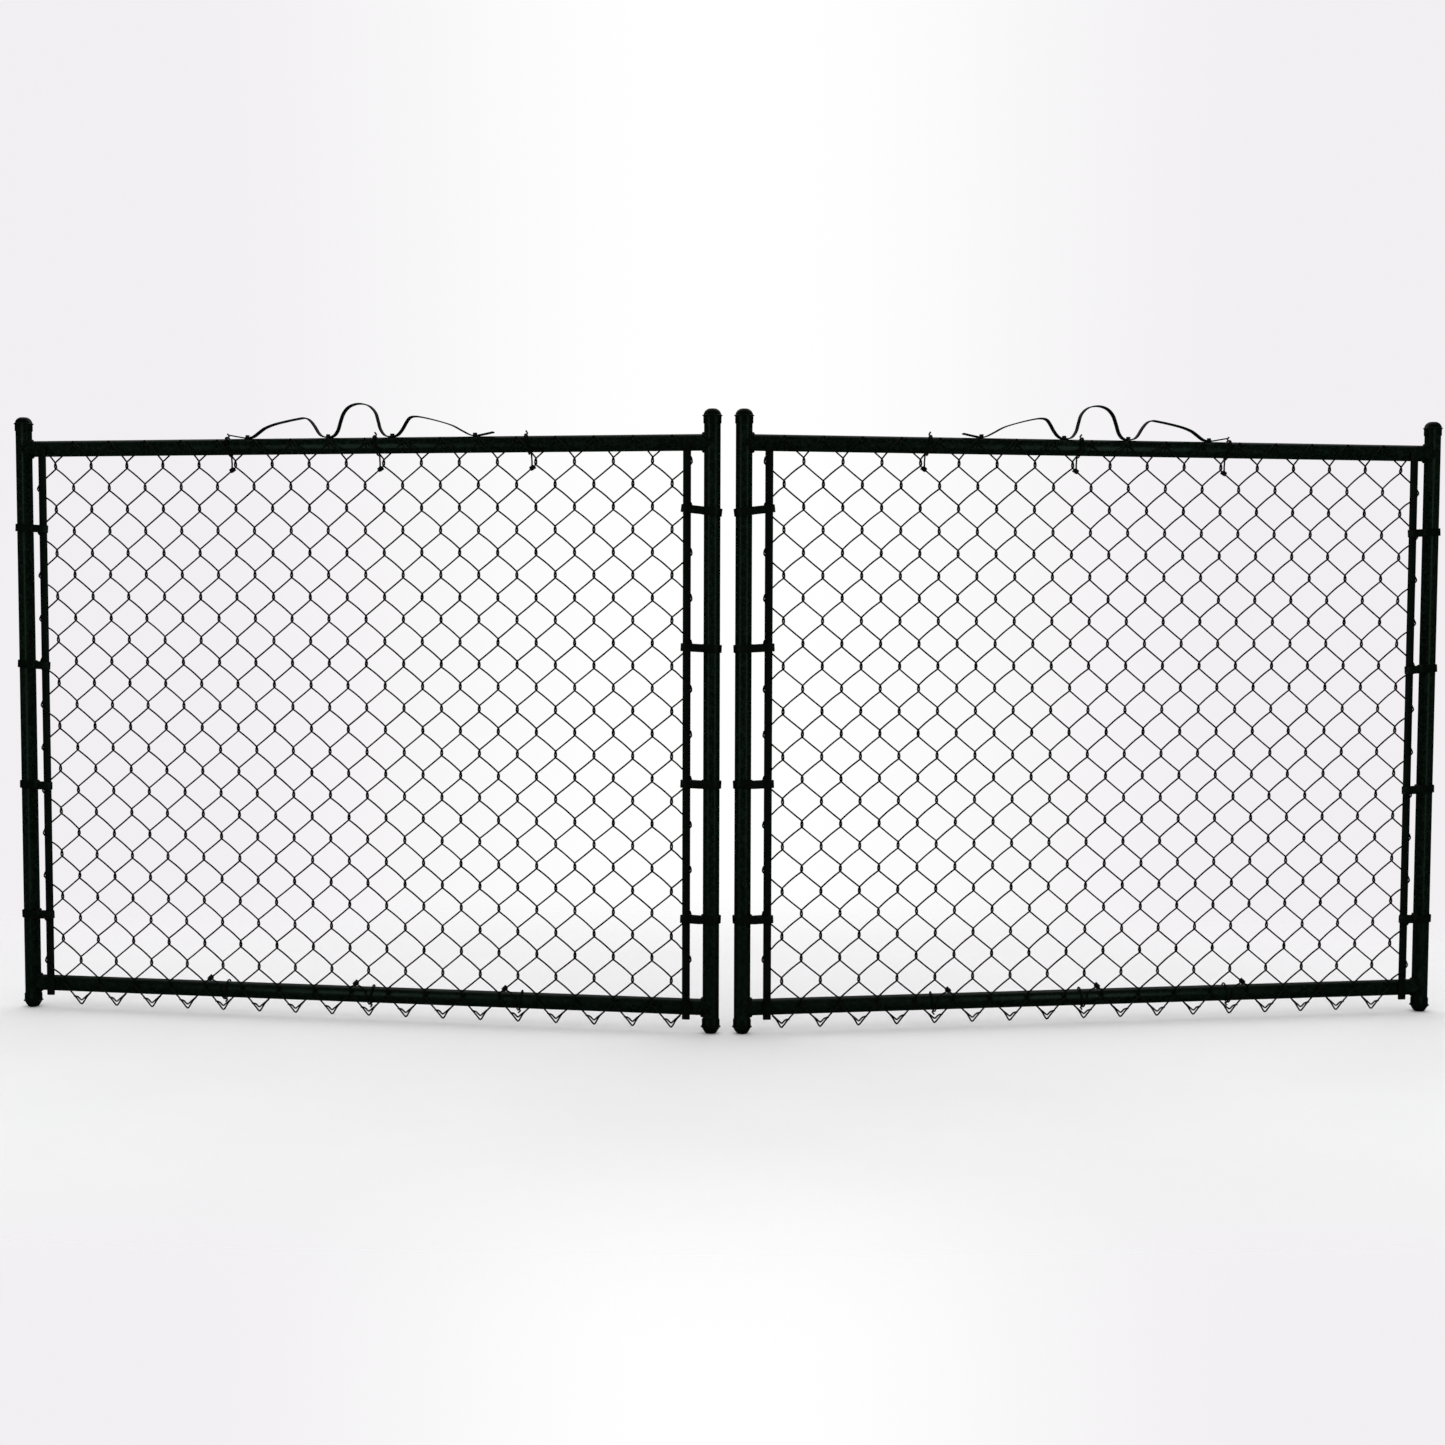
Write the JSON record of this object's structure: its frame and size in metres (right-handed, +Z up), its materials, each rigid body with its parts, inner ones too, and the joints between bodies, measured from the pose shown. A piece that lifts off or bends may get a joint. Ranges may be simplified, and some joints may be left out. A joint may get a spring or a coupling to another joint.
{
  "type": "double leaf chain link gate",
  "caption": "Pair of low tube-framed gate leaves filled with diamond wire fabric, each topped with a bent strip scroll, standing in a shallow V on dome caps.",
  "frame": {"origin": "on the floor under the middle of the pair's bounding box, halfway between the two leaves", "axes": "+X to the right along the pair seen from the fabric side, -Y towards the fabric side and the meeting uprights, +Z up"},
  "size_m": [3.0256, 0.3006, 1.2782],
  "materials": {
    "frame_tube": "satin dark green coating on steel tube",
    "caps": "satin dark green coating on pressed metal",
    "weld_beads": "dark green coating over weld beads",
    "bands_and_bars": "satin dark green coating on flat steel",
    "fabric_wire": "near-black coated wire",
    "tie_wire": "near-black coated wire",
    "scroll_strip": "satin dark green coating on flat strip",
    "fasteners": "dark green painted steel"
  },
  "bodies": {
    "left_leaf": {"left_band_bolts": "fasteners", "left_band_nuts": "fasteners", "left_bottom_rail": "frame_tube", "left_bottom_ties": "tie_wire", "left_inner_band_1": "bands_and_bars", "left_inner_band_2": "bands_and_bars", "left_inner_band_3": "bands_and_bars", "left_inner_band_4": "bands_and_bars", "left_inner_foot_cap": "caps", "left_inner_tension_bar": "bands_and_bars", "left_inner_top_cap": "caps", "left_inner_upright": "frame_tube", "left_mesh": "fabric_wire", "left_outer_band_1": "bands_and_bars", "left_outer_band_2": "bands_and_bars", "left_outer_band_3": "bands_and_bars", "left_outer_band_4": "bands_and_bars", "left_outer_foot_cap": "caps", "left_outer_tension_bar": "bands_and_bars", "left_outer_top_cap": "caps", "left_outer_upright": "frame_tube", "left_scroll": "scroll_strip", "left_scroll_screws": "fasteners", "left_top_rail": "frame_tube", "left_top_ties": "tie_wire", "left_welds": "weld_beads"},
    "right_leaf": {"right_band_bolts": "fasteners", "right_band_nuts": "fasteners", "right_bottom_rail": "frame_tube", "right_bottom_ties": "tie_wire", "right_inner_band_1": "bands_and_bars", "right_inner_band_2": "bands_and_bars", "right_inner_band_3": "bands_and_bars", "right_inner_band_4": "bands_and_bars", "right_inner_foot_cap": "caps", "right_inner_tension_bar": "bands_and_bars", "right_inner_top_cap": "caps", "right_inner_upright": "frame_tube", "right_mesh": "fabric_wire", "right_outer_band_1": "bands_and_bars", "right_outer_band_2": "bands_and_bars", "right_outer_band_3": "bands_and_bars", "right_outer_band_4": "bands_and_bars", "right_outer_foot_cap": "caps", "right_outer_tension_bar": "bands_and_bars", "right_outer_top_cap": "caps", "right_outer_upright": "frame_tube", "right_scroll": "scroll_strip", "right_scroll_screws": "fasteners", "right_top_rail": "frame_tube", "right_top_ties": "tie_wire", "right_welds": "weld_beads"}
  },
  "joints": [
    {"name": "right_leaf_swing", "type": "hinge", "parent": "left_leaf", "child": "right_leaf", "pos_m": [1.49256, 0.13243, 0.6], "axis": [0, 0, 1], "range_deg": [-99.7, 80.3]}
  ]
}
